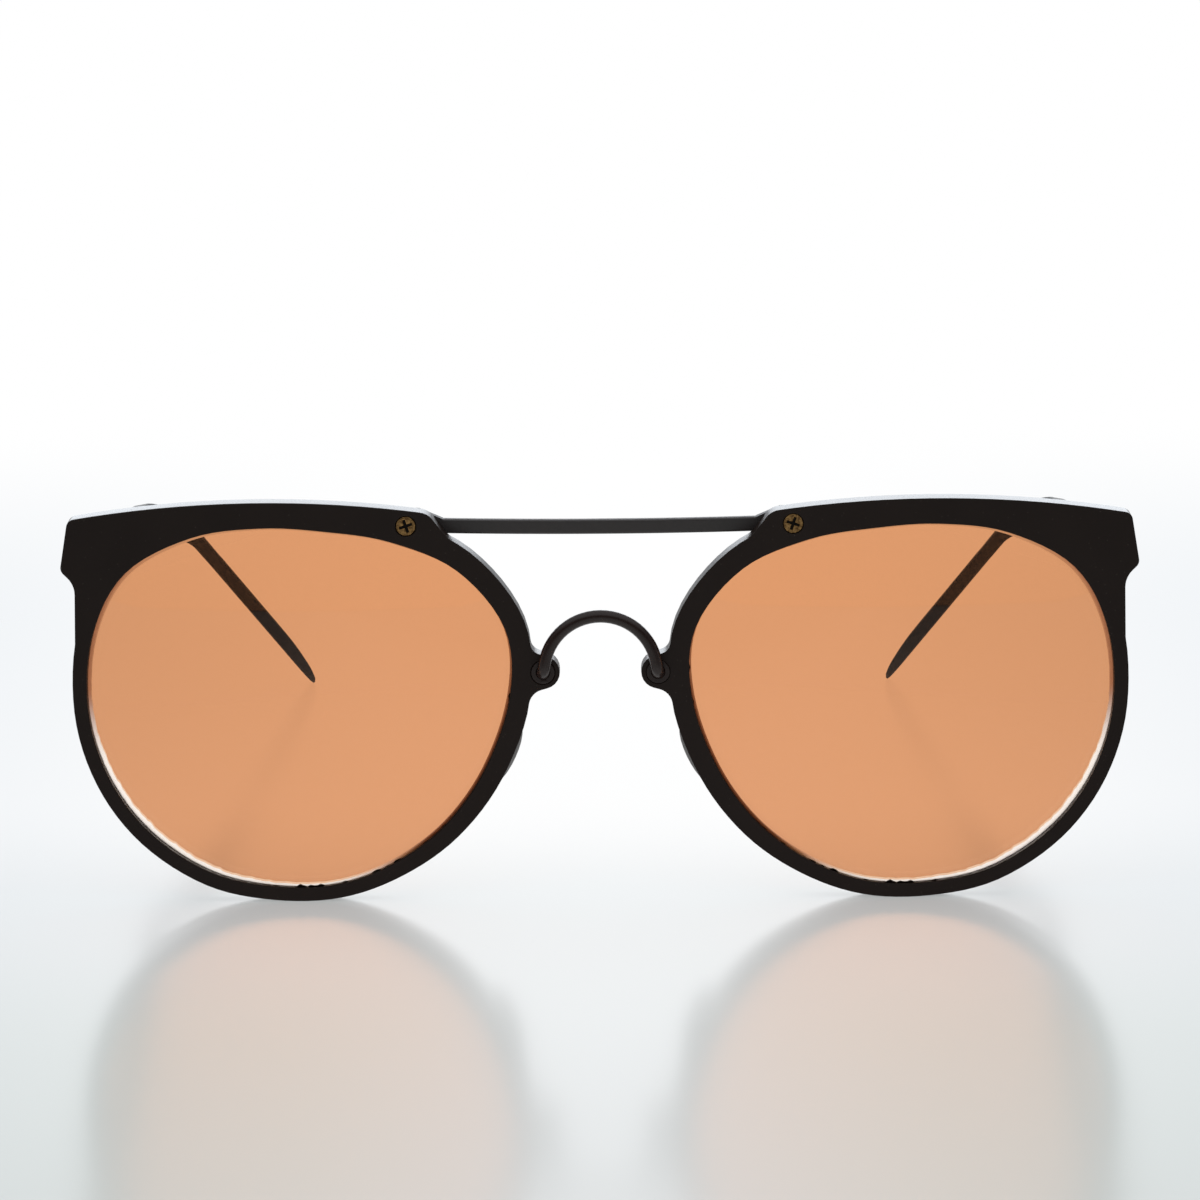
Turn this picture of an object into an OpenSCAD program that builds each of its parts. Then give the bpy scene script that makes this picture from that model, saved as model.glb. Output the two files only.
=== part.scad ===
// Round sunglasses: two moulded rims joined by a flat brow bar and a round wire bridge.
// The front faces -Y, the arms run back along +Y, and +Z is up.
// Left and right are the wearer's own, so every left piece has X above zero.
// The frame stands on the bottoms of its rims and on the tips of its arms.

/* [Lenses] */
// Width of the visible lens
lens_w = 54; // [50:0.5:57]
// Height of the visible lens
lens_h = 46.8; // [44:0.2:50]
// Thickness of the lens
lens_t = 2; // [1.6:0.1:2.3]
// Radius of the lens curve
lens_curve_r = 132; // [115:1:200]
// Width of the facet ground round the lens
lens_facet_w = 0.7; // [0.4:0.1:1.2]
// How far the edge tongue reaches into the rim
tongue_w = 0.6; // [0.4:0.05:0.8]
// Thickness of the edge tongue
tongue_t = 0.9; // [0.6:0.05:1.1]

/* [Rims] */
// Gap between the two lenses over the nose
lens_gap = 22; // [20:0.5:25]
// Width of the rim below and outside the lens
rim_w = 1.8; // [1.7:0.05:2.4]
// Width of the rim beside the nose
rim_nose_w = 2.6; // [2.3:0.05:3]
// Width of the rim above the lens
rim_top_w = 3.3; // [2.9:0.05:3.8]
// Depth of the rim from front to back
rim_d = 3; // [2.8:0.1:3.6]
// Radius of the long curve along the brow
brow_r = 147; // [130:1:220]
// Distance from the lens centre out to the highest point of the brow
brow_peak = 4.5; // [2:0.5:8]
// Distance from the centre plane to the inner corner of the brow
shoulder_x = 21.6; // [20.6:0.1:22.6]
// Height of the inner corner of the brow
shoulder_h = 3.2; // [2.8:0.1:3.6]
// Rounding of the inner corner of the brow
shoulder_r = 2.4; // [1:0.1:3]
// Rounding where the inner corner of the brow runs into the nose edge
foot_r = 3; // [2:0.1:4]

/* [End pieces] */
// How far the end piece stands out beside the lens
end_reach = 3.1; // [2.6:0.1:4]
// Height of the end piece
end_h = 6.5; // [6:0.1:7.5]
// How much the top of the end piece leans in
end_lean = 1.1; // [0.5:0.1:1.5]
// Step from the end piece in to the neck below it
neck_step = 1.8; // [1.5:0.1:2.4]
// Rounding of the corners of the end piece
end_r = 1.1; // [0.6:0.1:1.4]
// Rounding of the neck
neck_r = 3; // [2:0.1:4]

/* [Brow bar] */
// Height of the brow bar
bar_h = 1.85; // [1.5:0.05:2.2]
// Thickness of the brow bar
bar_t = 1.2; // [1:0.05:1.6]
// How far the middle of the bar bows forward
bar_bow = 1.2; // [0.8:0.1:1.6]
// Distance of the bar's middle line below the brow screws
bar_drop = 0.6; // [0.3:0.05:0.7]
// Rounding of the bar's long edges
bar_edge_r = 0.3; // [0.1:0.05:0.4]
// Height of the flat plate at each end of the bar
plate_h = 3.2; // [3:0.05:3.4]
// Distance from the brow screw in to the plate's inner end
plate_in = 4.6; // [4:0.1:5]
// Rounding of the plate's outer corners
plate_r = 1.4; // [0.5:0.1:1.5]
// Rounding where the plate narrows to the bar
plate_neck_r = 0.8; // [0.4:0.1:1.2]

/* [Brow screws] */
// Distance from the centre plane to a brow screw
screw_x = 24.4; // [24:0.1:25]
// Distance from the brow line down to a brow screw
screw_drop = 2; // [1.9:0.05:2.2]
// Diameter of the screw head
head_d = 2.45; // [2.2:0.05:2.6]
// Height of the screw head
head_h = 0.7; // [0.5:0.05:0.9]
// Depth at which the head sits below the rim's front
head_sink = 0.1; // [0:0.05:0.3]
// Diameter of the screw's shank
shank_d = 1.4; // [1.2:0.05:1.5]
// Width of the slots in the cross recess
recess_w = 0.36; // [0.25:0.01:0.45]
// Length of the slots in the cross recess
recess_l = 1.7; // [1.4:0.05:2]
// Depth of the cross recess
recess_d = 0.4; // [0.2:0.05:0.5]
// Turn of the cross recess
recess_turn = 19; // [0:1:45]

/* [Wire bridge] */
// Diameter of the bridge wire
wire_d = 1.6; // [1.4:0.05:1.8]
// Height of the wire ends above the lens centre
boss_up = 4.6; // [3.5:0.1:6]
// How far the wire ends stand out from the nose edge of the rim
boss_out = 1.1; // [0.9:0.1:1.6]
// Diameter of the round boss that holds the wire end
boss_d = 4.3; // [4:0.05:4.6]
// Rounding between the boss and the rim above it
boss_top_r = 1.5; // [0.8:0.1:1.8]
// Rounding between the boss and the rim below it
boss_low_r = 2.2; // [1:0.1:2.4]
// Bend radius where the wire turns back into the boss
elbow_r = 1.25; // [1:0.05:1.6]
// Length of the straight legs of the arch
leg_l = 0.4; // [0.2:0.1:1.5]
// Angle at which the legs of the arch lean outwards
leg_lean = 10; // [5:1:15]
// Diameter of the washer round the wire
washer_d = 3; // [2.8:0.05:3.2]
// Thickness of the washer
washer_t = 0.5; // [0.3:0.05:0.7]
// Diameter of the nut behind the boss
nut_d = 3; // [2.6:0.05:3.6]
// Thickness of the nut behind the boss
nut_t = 0.9; // [0.6:0.05:1.2]
// How far the wire end stands out of its nut
wire_end = 0.3; // [0.1:0.05:0.6]

/* [Hinges] */
// Height of the hinge's middle above the lens centre
hinge_up = 20.2; // [19.6:0.1:20.8]
// Diameter of the hinge barrel
barrel_d = 2.6; // [2.4:0.05:2.8]
// Height of the hinge barrel
barrel_h = 4.8; // [4.4:0.1:5.2]
// Height of the arm's own knuckle in the middle of the barrel
knuckle_h = 1.8; // [1.5:0.1:2.2]
// Gap between the hinge barrel and the arm
barrel_gap = 0.15; // [0.1:0.05:0.2]
// Distance from the rim's back to the hinge axis
pin_set = 1.7; // [1.6:0.05:2]
// Thickness of the hinge leaves
leaf_t = 0.7; // [0.5:0.05:0.9]
// Height of the front leaf
front_leaf_h = 5.2; // [4.8:0.1:5.6]
// Distance from the hinge axis to the inner edge of the front leaf
front_leaf_in = 2.3; // [2:0.1:2.5]
// Rounding of the inner corners of the front leaf
leaf_in_r = 0.6; // [0.3:0.1:0.9]
// Rounding of the leaf corners beside the barrel
leaf_r = 0.3; // [0.1:0.1:0.5]
// Diameter of the studs that anchor the front leaf
stud_d = 1; // [0.8:0.05:1.2]
// Length of the studs that anchor the front leaf
stud_l = 1.2; // [0.8:0.1:1.5]
// Length of the arm's leaf behind the hinge axis
arm_leaf_l = 10.5; // [9:0.5:13]
// Height of the arm's leaf
arm_leaf_h = 3.4; // [3:0.1:3.8]
// Rounding of the rear end of the arm's leaf
arm_leaf_r = 1.2; // [0.6:0.1:1.5]
// Diameter of the rivets that hold the arm's leaf
rivet_d = 1.1; // [0.9:0.05:1.3]
// Distance from the rear end of the arm's leaf to its nearer rivet
rivet_in = 3; // [2:0.5:3.5]
// Distance between the two rivets
rivet_gap = 5; // [4:0.5:6]
// Diameter of the hinge screw
pin_d = 1.2; // [1:0.05:1.4]
// Diameter of the hinge screw's head
pin_head_d = 2; // [1.7:0.05:2.3]
// Height of the hinge screw's head
pin_head_h = 0.6; // [0.4:0.05:0.8]
// Width of the hinge screw's slot
pin_slot_w = 0.3; // [0.2:0.05:0.4]
// Depth of the hinge screw's slot
pin_slot_d = 0.25; // [0.15:0.05:0.35]
// Width of the webs that join the front knuckles to their leaf
web_w = 2.2; // [1.6:0.1:2.4]
// Width of the web that joins the arm's knuckle to its leaf
arm_web_w = 1.4; // [1:0.1:1.6]
// How far in front of the hinge axis the arm's web begins
arm_web_y = 0.25; // [0:0.05:0.4]

/* [Arms] */
// Thickness of the arm at the hinge
arm_t = 3; // [2.8:0.1:3.4]
// Thickness of the arm behind the ear
ear_t = 2; // [1.8:0.1:2.4]
// Height of the arm at the hinge
arm_h = 5.6; // [5.4:0.1:6]
// Height of the arm before its bend
bend_h = 4.8; // [4.4:0.1:5.4]
// Height of the arm behind the ear
ear_h = 5.4; // [4.8:0.1:6]
// How far the arm's outer face lies in from the outer end of the end piece
arm_inset = 0.3; // [0.1:0.1:0.5]
// Distance of the arm's middle line below the middle of the hinge
arm_low = 0.5; // [0.2:0.1:0.6]
// Angle at which the arm slopes down from the hinge
arm_slope = 8.2; // [7.5:0.1:9.5]
// Length of the straight part of the arm, measured straight back
arm_run = 85; // [80:1:90]
// Distance of the arm's tip behind the rims
tip_back = 124; // [118:0.5:130]
// Distance by which the tip stands further in than the hinge end
tip_in = 22.6; // [20:0.2:25]
// Length of the straight part behind the ear
ear_run = 35; // [32:1:38]
// Angle at which the part behind the ear drops
ear_drop = 46; // [43:1:49]
// Angle at which the part behind the ear turns in
ear_turn = 41; // [37:1:45]
// Angle by which the arm's faces lean inwards behind the ear
face_lean = 55; // [40:1:65]
// Length over which the tip is rounded
tip_round = 5; // [3:0.5:6]
// Length over which the arm thins to its tip on the inner side
tip_taper = 12; // [9:0.5:14]
// Thickness of the arm at its tip
tip_t = 0.8; // [0.6:0.1:1.2]

/* [Nose pads] */
// Length of the nose pad
pad_l = 9.5; // [8:0.5:11]
// Width of the nose pad where it meets the rim
pad_w = 2.3; // [2:0.1:2.5]
// How far the nose pad stands back from the rim
pad_d = 4.2; // [3:0.1:5]
// Distance of the pad's middle below the lens centre
pad_down = 7.6; // [6:0.2:9]
// How far the pad's foot keeps in from the rim's nose edge
pad_in = 0.1; // [0:0.05:0.3]
// How far the back of the pad leans towards the nose
pad_lean = 1.7; // [1:0.1:1.9]

/* [Fits] */
// Clearance round a piece that is fixed in its seat
fit = 0.04; // [0.02:0.01:0.08]
// Clearance round the hinge screw and between the knuckles
run_fit = 0.05; // [0.03:0.01:0.08]
// Gap between the end of an arm and the end piece
butt_gap = 0.25; // [0.2:0.05:0.4]
// Clearance round a screw where it passes through the rim
pass_fit = 0.1; // [0.05:0.01:0.15]

/* [Hidden] */
$fn = 48;
// Fine rounding for the lens curve
ball_fn = 240;
// A little extra length for cuts
cut = 0.5;
// Steps between two outline points, along a rounded corner and round a boss
curve_steps = 6;
corner_steps = 6;
brow_steps = 16;
boss_step = 15;
// Angles at which the outline leaves the boss above and below, counted from the outer side
boss_low_angle = 255;
boss_top_angle = 105;
// How far from the boss its rounding begins, and how far the band keeps from it
root_gap = 0.5;
root_reach = 1;
// Angle from the nose at which the band goes on below the neck
neck_angle = 160;
// Share of the lens width beyond which a point of the band lies beside the nose
nose_share = 0.2;
// Largest share of an edge that a rounded corner may take
corner_share = 0.9;
// Steps of the wire's elbow in degrees
elbow_step = 15;
// Steps up one side of the wire arch, and sides of the wire
arch_steps = 14;
wire_sides = 18;
// Steps along the straight part, the bend, the part behind the ear and the tip, and sides of the arm
straight_steps = 10;
bend_steps = 15;
ear_steps = 12;
tip_steps = 6;
arm_sides = 16;
// How long the bend keeps the direction of the straight part and that behind the ear
near_pull = 0.45;
far_pull = 0.25;
// Exponent of the arm section's rounding, where one is an ellipse and zero a rectangle
section_e = 0.35;
// Share of the section's area that is left at the very tip
tip_flat = 0.06;
// Shares of the way back at which sections stop being upright, start to lean, and lean in full
hinge_share = 0.4;
lean_start = 0.66;
lean_full = 0.88;

// Places on the lens outline, as shares of half its width and height, from the nose over the top
LENS_SHAPE = [
    [-0.98, 0.06], [-0.96, 0.44], [-0.74, 0.76], [-0.43, 0.92], [-0.12, 0.98], [0.18, 1.00],
    [0.50, 0.95], [0.81, 0.76], [0.97, 0.42], [1.00, 0.00], [0.91, -0.38], [0.72, -0.69],
    [0.44, -0.91], [0.14, -0.99], [-0.16, -0.98], [-0.43, -0.86], [-0.67, -0.65], [-0.86, -0.34]
];

// Places on the front
eye_x = (lens_w + lens_gap) / 2;
eye_z = lens_h / 2 + rim_w;
brow_top = eye_z + lens_h / 2 + rim_top_w;
end_x = eye_x + lens_w / 2 + end_reach;
nose_x = lens_gap / 2 - rim_nose_w;
screw_z = brow_z(screw_x) - screw_drop;
bar_z = screw_z - bar_drop;
boss_x = nose_x - boss_out;
boss_z = eye_z + boss_up;

// The lens is a slice of a ball whose middle skin crosses the rim's mid depth at this radius
seat_r = (lens_w + lens_h) / 4;
lens_ball_y = rim_d / 2 + sqrt(lens_curve_r * lens_curve_r - seat_r * seat_r);

// The arch of the bridge wire
leg_reach = elbow_r + leg_l;
arch_r = (boss_x - leg_reach * sin(leg_lean)) / cos(leg_lean);
arch_z = boss_z - arch_r * sin(leg_lean) + leg_reach * cos(leg_lean);

// The hinge
arm_x = end_x - arm_inset - arm_t / 2;
arm_in_x = arm_x - arm_t / 2;
pin_x = arm_in_x - barrel_gap - barrel_d / 2;
pin_y = rim_d + pin_set;
pin_z = eye_z + hinge_up;
butt_y = rim_d + butt_gap;

// The arm's centre line: straight, then a curve, then straight behind the ear
arm_dir = [0, cos(arm_slope), -sin(arm_slope)];
ear_dir = [
    -cos(ear_drop) * sin(ear_turn),
    cos(ear_drop) * cos(ear_turn),
    -sin(ear_drop)
];
butt = [arm_x, butt_y, pin_z - arm_low];
bend_start = butt + arm_dir * arm_run / cos(arm_slope);

// Points of the front outlines
lens_line = [for (p = closed_curve(LENS_SHAPE, curve_steps))
    [eye_x + p.x * lens_w / 2, eye_z + p.y * lens_h / 2]];
band_line = grow(lens_line, [for (p = lens_line) band_w(nose_angle(p))]);

// The rim's outline, from the boss over the brow to the end piece and back below the lens
shoulder = [shoulder_x, brow_z(shoulder_x), shoulder_r];
shoulder_foot = nose_edge(shoulder.y - shoulder_h);
end_top = [end_x - end_lean, brow_z(end_x - end_lean), end_r];
end_low = [end_x, end_top.y - end_h, end_r];
neck = [end_x - neck_step, end_low.y - neck_step, neck_r];
boss_root = boss_d / 2 + root_gap;
boss_reach = boss_d / 2 + boss_top_r + root_reach;
rim_line = rounded(concat(
    [for (a = [boss_low_angle:-boss_step:boss_top_angle])
        [boss_x + boss_d / 2 * cos(a), boss_z + boss_d / 2 * sin(a), 0]],
    [[nose_edge(boss_z + boss_root).x, boss_z + boss_root, boss_top_r]],
    [for (p = band_line) if (on_nose(p) && p.y > boss_z + boss_reach && p.y < shoulder_foot.y - cut)
        [p.x, p.y, 0]],
    [[shoulder_foot.x, shoulder_foot.y, foot_r], shoulder],
    [for (i = [1:brow_steps - 1]) let (x = shoulder_x + (end_top.x - shoulder_x) * i / brow_steps)
        [x, brow_z(x), 0]],
    [end_top, end_low, neck],
    [for (i = [1:len(band_line) - 1]) let (p = band_line[i])
        if (nose_angle(p) > neck_angle && (p.x > eye_x || p.y < boss_z - boss_reach)) [p.x, p.y, 0]],
    [[nose_edge(boss_z - boss_root).x, boss_z - boss_root, boss_low_r]]
));

// Height of the brow line at a distance from the centre plane
function brow_z(x) = brow_top - brow_r + sqrt(brow_r * brow_r - pow(x - eye_x - brow_peak, 2));
// Angle round the lens centre, counted from the nose over the top
function nose_angle(p) = let (a = atan2(p.y - eye_z, eye_x - p.x)) a < 0 ? a + 360 : a;
// Width of the rim at an angle from the nose
function band_w(a) = rim_w + (rim_top_w - rim_w) * pow(max(0, sin(a)), 2)
    + (rim_nose_w - rim_w) * pow(max(0, cos(a)), 2);
// Whether a point of the band lies beside the nose
function on_nose(p) = p.x < eye_x - lens_w * nose_share;
// The nose edge of the band at a height
function nose_edge(z) = let (hits = [for (i = [0:len(band_line) - 1])
    let (p = band_line[i], q = band_line[(i + 1) % len(band_line)])
    if (on_nose(p) && p.y <= z && q.y > z) p + (q - p) * (z - p.y) / (q.y - p.y)]) hits[0];

// A smooth closed curve through a few points
function closed_curve(p, n) = [for (i = [0:len(p) - 1], k = [0:n - 1])
    let (m = len(p), t = k / n, a = p[(i + m - 1) % m], b = p[i], c = p[(i + 1) % m], d = p[(i + 2) % m])
    b + (c - a) * t / 2 + (2 * a - 5 * b + 4 * c - d) * t * t / 2 + (3 * b - a - 3 * c + d) * t * t * t / 2];
// A closed outline moved outwards by one width, or by one width for each point
function grow(p, w) = [for (i = [0:len(p) - 1])
    let (m = len(p), t = p[(i + 1) % m] - p[(i + m - 1) % m], n = [-t.y, t.x] / norm(t))
    p[i] + n * (is_list(w) ? w[i] : w)];
// A closed outline of [x, y, radius] corners with each corner rounded by its radius
function rounded(p) = [for (i = [0:len(p) - 1])
    let (m = len(p), a = p[(i + m - 1) % m], b = p[i], c = p[(i + 1) % m])
    each b[2] == 0 ? [[b.x, b.y]] : corner([a.x, a.y], [b.x, b.y], [c.x, c.y], b[2])];
function corner(a, b, c, r) =
    let (u = (a - b) / norm(a - b), v = (c - b) / norm(c - b), half = acos(u * v) / 2,
        reach = min(r / tan(half), norm(a - b) * corner_share, norm(c - b) * corner_share),
        rr = reach * tan(half),
        mid = b + (u + v) / norm(u + v) * rr / sin(half), s = b + u * reach - mid,
        side = u.x * v.y - u.y * v.x > 0 ? -1 : 1, span = 180 - 2 * half)
    [for (k = [0:corner_steps]) let (g = side * span * k / corner_steps)
        mid + [s.x * cos(g) - s.y * sin(g), s.x * sin(g) + s.y * cos(g)]];

// The arm's tip is set to the height at which its lowest point is level with the rims'
rim_low = min([for (p = rim_line) p.y]);
low_tip = [arm_x - tip_in, rim_d + tip_back, 0];
tip = low_tip + [0, 0, rim_low - min([for (ring = arm_rings(low_tip), p = ring) p.z])];

// How much the whole frame moves back and down, so that its box stands centred on the origin
lens_front = lens_ball_y - lens_curve_r - lens_t / 2;
wire_front = -elbow_r - wire_d / 2;
front_y = min(lens_front, wire_front);
back_y = max([for (ring = arm_rings(tip), p = ring) p.y]);
shift_y = -(front_y + back_y) / 2;
shift_z = -rim_low;

BLACK = "#1d1b1b";
STEEL = "#3a3836";
BRASS = "#8a6d3f";
AMBER = "#de9b6b";

// Puts a left piece in its place, or mirrors it to the right
module left() {
    translate([0, shift_y, shift_z]) children();
}
module right() {
    translate([0, shift_y, shift_z]) mirror([1, 0, 0]) children();
}

// An upright plate with its front at y0 and its back at y1
module upright(y0, y1, points) {
    translate([0, y1, 0]) rotate([90, 0, 0]) linear_extrude(y1 - y0) polygon(points);
}
// A round bar that points back from y0 to y1
module post(x, z, y0, y1, d) {
    translate([x, y1, z]) rotate([90, 0, 0]) cylinder(h = y1 - y0, d = d);
}
// A curved sheet of one thickness that follows the lens curve
module lens_skin(points, thick) {
    intersection() {
        upright(lens_front - cut, rim_d + cut, points);
        translate([eye_x, lens_ball_y, eye_z]) difference() {
            sphere(r = lens_curve_r + thick / 2, $fn = ball_fn);
            sphere(r = lens_curve_r - thick / 2, $fn = ball_fn);
        }
    }
}
// A closed skin over a stack of rings that all have as many points
module loft(rings) {
    n = len(rings[0]);
    m = len(rings);
    points = [for (ring = rings, p = ring) p];
    sides = [for (i = [0:m - 2], k = [0:n - 1]) let (a = i * n + k, b = i * n + (k + 1) % n)
        each [[a, b, b + n], [a, b + n, a + n]]];
    ends = [[for (k = [n - 1:-1:0]) k], [for (k = [0:n - 1]) (m - 1) * n + k]];
    polyhedron(points, concat(sides, ends));
}

module lens() {
    color(AMBER) {
        lens_skin(grow(lens_line, -lens_facet_w), lens_t);
        lens_skin(grow(lens_line, tongue_w), tongue_t);
    }
}

module rim() {
    color(BLACK) difference() {
        upright(0, rim_d, rim_line);
        upright(-cut, rim_d + cut, lens_line);
        lens_skin(grow(lens_line, tongue_w + fit), tongue_t + 2 * fit);
        post(screw_x, screw_z, -cut, head_sink + head_h, head_d + 2 * pass_fit);
        post(screw_x, screw_z, -cut, rim_d + cut, shank_d + 2 * pass_fit);
        post(boss_x, boss_z, -cut, washer_t + fit, washer_d + 2 * fit);
        post(boss_x, boss_z, -cut, rim_d + cut, wire_d + 2 * fit);
        upright(rim_d - leaf_t - fit, rim_d + cut, front_leaf_line(fit));
        for (z = stud_places()) post(pin_x, z, rim_d - leaf_t - stud_l - fit, rim_d, stud_d + 2 * fit);
    }
}

// The bar is an arc of a wide ring, with a flat plate behind each rim
module brow_bar() {
    flat_x = screw_x - plate_in;
    bow_r = (flat_x * flat_x + bar_bow * bar_bow) / (2 * bar_bow);
    half_turn = asin((flat_x + bar_t / 2) / bow_r);
    half_t = bar_t / 2;
    half_h = bar_h / 2;
    section = rounded([
        [bow_r - half_t, -half_h, bar_edge_r], [bow_r + half_t, -half_h, bar_edge_r],
        [bow_r + half_t, half_h, bar_edge_r], [bow_r - half_t, half_h, bar_edge_r]
    ]);
    color(STEEL) {
        translate([0, rim_d + half_t - bar_bow + bow_r, bar_z])
            rotate([0, 0, 270 - half_turn])
            rotate_extrude(angle = 2 * half_turn, $fn = ball_fn) polygon(section);
        for (side = [0, 1]) mirror([side, 0, 0]) difference() {
            upright(rim_d + fit, rim_d + bar_t, bar_plate_line());
            post(screw_x, screw_z, rim_d - cut, rim_d + bar_t + cut, shank_d + 2 * fit);
        }
    }
}
function bar_plate_line() = let (in_x = screw_x - plate_in, h = plate_h / 2)
    rounded([
        [in_x, bar_z - bar_h / 2, 0], [screw_x - h, screw_z - h, plate_neck_r],
        [screw_x + h, screw_z - h, plate_r], [screw_x + h, screw_z + h, plate_r],
        [screw_x - h, screw_z + h, plate_neck_r], [in_x, bar_z + bar_h / 2, 0]
    ]);

module brow_screw() {
    color(BRASS) difference() {
        union() {
            post(screw_x, screw_z, head_sink, head_sink + head_h, head_d);
            post(screw_x, screw_z, head_sink + head_h / 2, rim_d + bar_t, shank_d);
        }
        for (turn = [0, 90]) translate([screw_x, head_sink + recess_d / 2 - cut / 2, screw_z])
            rotate([0, recess_turn + turn, 0])
            cube([recess_l, recess_d + cut, recess_w], center = true);
    }
}

// The wire runs from one boss through an elbow, over the arch and back in at the other boss
leg_way = [sin(leg_lean), 0, -cos(leg_lean)];
leg_side = [cos(leg_lean), 0, sin(leg_lean)];
leg_foot = [0, 0, arch_z] + leg_side * arch_r + leg_way * leg_l;
// Middle, direction and outward side of each ring from the left end to the top of the arch
wire_half = concat(
    [for (y = [rim_d + nut_t + wire_end, rim_d]) [[boss_x, y, boss_z], [0, -1, 0], leg_side]],
    [for (g = [0:elbow_step:90]) [
        leg_foot + leg_way * elbow_r * cos(g) - [0, elbow_r * sin(g), 0],
        -leg_way * sin(g) - [0, cos(g), 0],
        leg_side
    ]],
    [for (i = [0:arch_steps]) let (a = leg_lean + (90 - leg_lean) * i / arch_steps)
        [[arch_r * cos(a), -elbow_r, arch_z + arch_r * sin(a)], [-sin(a), 0, cos(a)], [cos(a), 0, sin(a)]]]
);
wire_rings = [for (q = wire_half) [for (k = [0:wire_sides - 1]) let (a = 360 * (k + 0.5) / wire_sides)
    q[0] + (q[2] * cos(a) + cross(q[2], q[1]) * sin(a)) * wire_d / 2]];
module bridge_wire() {
    over = [for (i = [len(wire_rings) - 2:-1:0]) [for (p = wire_rings[i]) [-p.x, p.y, p.z]]];
    color(BLACK) loft(concat(wire_rings, over));
}
module bridge_washer() {
    color(BLACK) difference() {
        post(boss_x, boss_z, 0, washer_t, washer_d);
        post(boss_x, boss_z, -cut, washer_t + cut, wire_d + 2 * fit);
    }
}
module bridge_nut() {
    color(STEEL) difference() {
        post(boss_x, boss_z, rim_d + fit, rim_d + nut_t, nut_d);
        post(boss_x, boss_z, rim_d - cut, rim_d + nut_t + cut, wire_d + 2 * fit);
    }
}

// Rings of a rounded pad that stands back from the rim and leans to the nose
pad_sides = 20;
pad_steps = 8;
// Share of the pad's section that is left at its end
pad_flat = 0.02;
function pad_rings() = let (z = eye_z - pad_down, foot = nose_edge(z), above = nose_edge(z + 1),
        along = (above - foot) / norm(above - foot), out = [-along.y, along.x],
        mid = foot - out * (pad_w / 2 + pad_in))
    [for (i = [0:pad_steps]) let (h = i / pad_steps, shrink = sqrt(max(pad_flat, 1 - h * h * h)))
        [for (k = [0:pad_sides - 1]) let (a = 360 * k / pad_sides,
            across = pad_lean * h + pad_w / 2 * shrink * cos(a),
            p = mid + out * across - along * pad_l / 2 * shrink * sin(a))
            [p.x, rim_d + fit + pad_d * (1 - pow(1 - h, 1.5)), p.y]]];
module nose_pad() {
    color(BLACK) loft(pad_rings());
}

// The front leaf lies in a seat in the end piece, under the two outer knuckles
function front_leaf_line(gap) = let (h = front_leaf_h / 2 + gap)
    rounded([
        [pin_x - front_leaf_in - gap, pin_z - h, leaf_in_r], [pin_x + barrel_d / 2 + gap, pin_z - h, leaf_r],
        [pin_x + barrel_d / 2 + gap, pin_z + h, leaf_r], [pin_x - front_leaf_in - gap, pin_z + h, leaf_in_r]
    ]);
function stud_places() = [pin_z - front_leaf_h / 4, pin_z + front_leaf_h / 4];
module knuckle(z0, z1) {
    translate([pin_x, pin_y, z0]) cylinder(h = z1 - z0, d = barrel_d);
}
module front_hinge() {
    outer = (barrel_h - knuckle_h) / 2;
    low = pin_z - barrel_h / 2;
    color(STEEL) difference() {
        union() {
            upright(rim_d - leaf_t, rim_d, front_leaf_line(0));
            for (z = stud_places()) post(pin_x, z, rim_d - leaf_t - stud_l, rim_d - leaf_t / 2, stud_d);
            for (z = [low, low + barrel_h - outer]) {
                knuckle(z, z + outer);
                translate([pin_x - web_w / 2, rim_d - leaf_t / 2, z])
                    cube([web_w, pin_set + leaf_t / 2, outer]);
            }
        }
        translate([pin_x, pin_y, low - cut]) cylinder(h = barrel_h + 2 * cut, d = pin_d + 2 * fit);
    }
}
module hinge_screw() {
    low = pin_z - barrel_h / 2;
    top = pin_z + barrel_h / 2 + pin_head_h;
    color(STEEL) difference() {
        union() {
            translate([pin_x, pin_y, low]) cylinder(h = barrel_h + pin_head_h / 2, d = pin_d);
            translate([pin_x, pin_y, pin_z + barrel_h / 2 + fit / 2])
                cylinder(h = pin_head_h - fit / 2, d = pin_head_d);
        }
        translate([pin_x - pin_head_d, pin_y - pin_slot_w / 2, top - pin_slot_d])
            cube([2 * pin_head_d, pin_slot_w, pin_slot_d + cut]);
    }
}

// The arm's leaf follows the slope of the arm
function arm_leaf_line(gap) = let (h = arm_leaf_h / 2 + gap,
        y0 = pin_y - arm_web_y - gap, y1 = pin_y + arm_leaf_l + gap)
    rounded([
        [y0, arm_mid(y0) - h, leaf_r], [y1, arm_mid(y1) - h, arm_leaf_r],
        [y1, arm_mid(y1) + h, arm_leaf_r], [y0, arm_mid(y0) + h, leaf_r]
    ]);
// Height of the straight arm's middle line
function arm_mid(y) = butt.z - (y - butt_y) * tan(arm_slope);
function rivet_places() = [for (i = [0, 1]) pin_y + arm_leaf_l - rivet_in - i * rivet_gap];
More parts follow.
